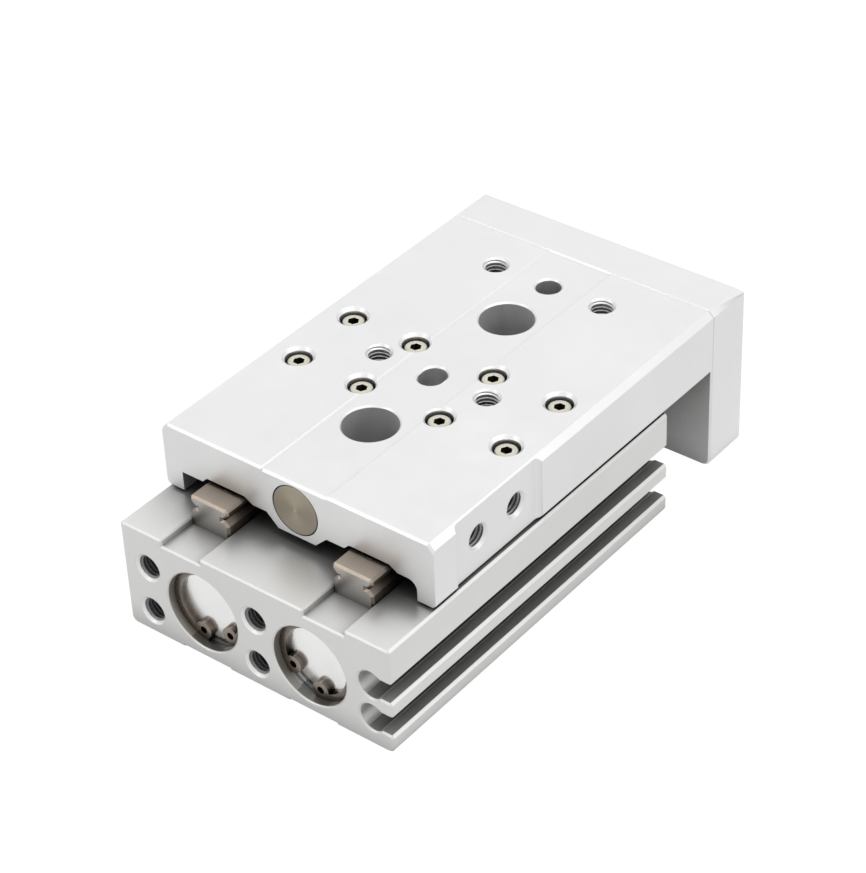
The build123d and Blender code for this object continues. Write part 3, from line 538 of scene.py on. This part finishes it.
def white_to(tree, strength):
    """The share of white that each kind of ray sees, from a strength for each kind."""
    path = tree.nodes.new("ShaderNodeLightPath")
    total = None
    for kind, white in strength.items():
        weight = tree.nodes.new("ShaderNodeMath")
        weight.operation = "MULTIPLY"
        weight.inputs[1].default_value = white
        tree.links.new(path.outputs[kind], weight.inputs[0])
        if total is None:
            total = weight.outputs[0]
        else:
            join = tree.nodes.new("ShaderNodeMath")
            join.operation = "MAXIMUM"
            tree.links.new(total, join.inputs[0])
            tree.links.new(weight.outputs[0], join.inputs[1])
            total = join.outputs[0]
    return total


def make_floor():
    """A wide white floor just below the part, which looks white to the camera."""
    reach, level = 6.0, -0.00003
    mesh = bpy.data.meshes.new("floor")
    mesh.from_pydata([(-reach, -reach, level), (reach, -reach, level), (reach, reach, level),
                      (-reach, reach, level)], [], [(0, 1, 2, 3)])
    floor = bpy.data.objects.new("floor", mesh)
    bpy.context.scene.collection.objects.link(floor)
    material = bpy.data.materials.new("floor_white")
    material.use_nodes = True
    tree = material.node_tree
    tree.nodes.clear()
    output = tree.nodes.new("ShaderNodeOutputMaterial")
    matt = tree.nodes.new("ShaderNodeBsdfDiffuse")
    matt.inputs["Color"].default_value = (0.90, 0.90, 0.90, 1)
    glow = tree.nodes.new("ShaderNodeEmission")
    glow.inputs["Strength"].default_value = 1.05
    mix = tree.nodes.new("ShaderNodeMixShader")
    share = white_to(tree, {"Is Camera Ray": 0.95, "Is Glossy Ray": 0.4,
                            "Is Transmission Ray": 0.9})
    tree.links.new(share, mix.inputs[0])
    tree.links.new(matt.outputs[0], mix.inputs[1])
    tree.links.new(glow.outputs[0], mix.inputs[2])
    tree.links.new(mix.outputs[0], output.inputs["Surface"])
    mesh.materials.append(material)


def make_world():
    """A white surround, which gives reflections their full light and matt faces half of it."""
    world = bpy.data.worlds.new("studio")
    bpy.context.scene.world = world
    world.use_nodes = True
    tree = world.node_tree
    tree.nodes.clear()
    output = tree.nodes.new("ShaderNodeOutputWorld")
    sky = tree.nodes.new("ShaderNodeBackground")
    sky.inputs["Color"].default_value = (1, 1, 1, 1)
    share = white_to(tree, {"Is Camera Ray": 1.0, "Is Glossy Ray": 0.97,
                            "Is Transmission Ray": 1.0, "Is Diffuse Ray": 0.5})
    tree.links.new(share, sky.inputs["Strength"])
    tree.links.new(sky.outputs[0], output.inputs["Surface"])


def softbox(name, place, target, size, radiance):
    """A square area lamp that faces a target, with its brightness given as a radiance."""
    lamp = bpy.data.lights.new(name, "AREA")
    lamp.shape = "SQUARE"
    lamp.size = size
    lamp.energy = radiance * math.pi * size * size
    thing = bpy.data.objects.new(name, lamp)
    bpy.context.scene.collection.objects.link(thing)
    thing.location = place
    thing.rotation_mode = "QUATERNION"
    thing.rotation_quaternion = (Vector(target) - Vector(place)).to_track_quat("-Z", "Y")


def make_lights():
    softbox("overhead", (0.2, 0.1, 0.95), (0, 0, 0), 0.9, 1.4)
    softbox("rear_window", (-0.46, -0.60, 0.66), (0, 0, 0), 0.3, 1.7)
    softbox("far_window", (0.27, 0.14, 0.19), (0.02, -0.04, 0.03), 0.12, 1.1)


def make_camera():
    """The camera at the photograph's place, as fitted to its edges; lengths are millimetres.

    It looks from an azimuth and an elevation, and the pivot lies at pivot_seen in its view.
    """
    focal_px, height_px = 2774.1, 873
    azimuth, elevation, roll = (math.radians(d) for d in (39.482, 36.513, -2.574))
    pivot = Vector((0, -1.9, 15.0))
    pivot_seen = Vector((-7.077, -12.997, -512.70))
    back = Vector((math.sin(azimuth) * math.cos(elevation),
                   -math.cos(azimuth) * math.cos(elevation), math.sin(elevation)))
    level = Vector((math.cos(azimuth), math.sin(azimuth), 0))
    above = back.cross(level)
    right = math.cos(roll) * level + math.sin(roll) * above
    up = -math.sin(roll) * level + math.cos(roll) * above
    turn = Matrix((right, up, back)).transposed()
    data = bpy.data.cameras.new("camera")
    data.sensor_width = 36
    data.lens = focal_px * data.sensor_width / height_px
    data.clip_start = 0.01
    camera = bpy.data.objects.new("camera", data)
    bpy.context.scene.collection.objects.link(camera)
    camera.matrix_world = (Matrix.Translation((pivot - turn @ pivot_seen) * MM)
                           @ turn.to_4x4())
    bpy.context.scene.camera = camera


make_floor()
make_world()
make_lights()
make_camera()
bpy.context.scene.view_settings.view_transform = "Standard"
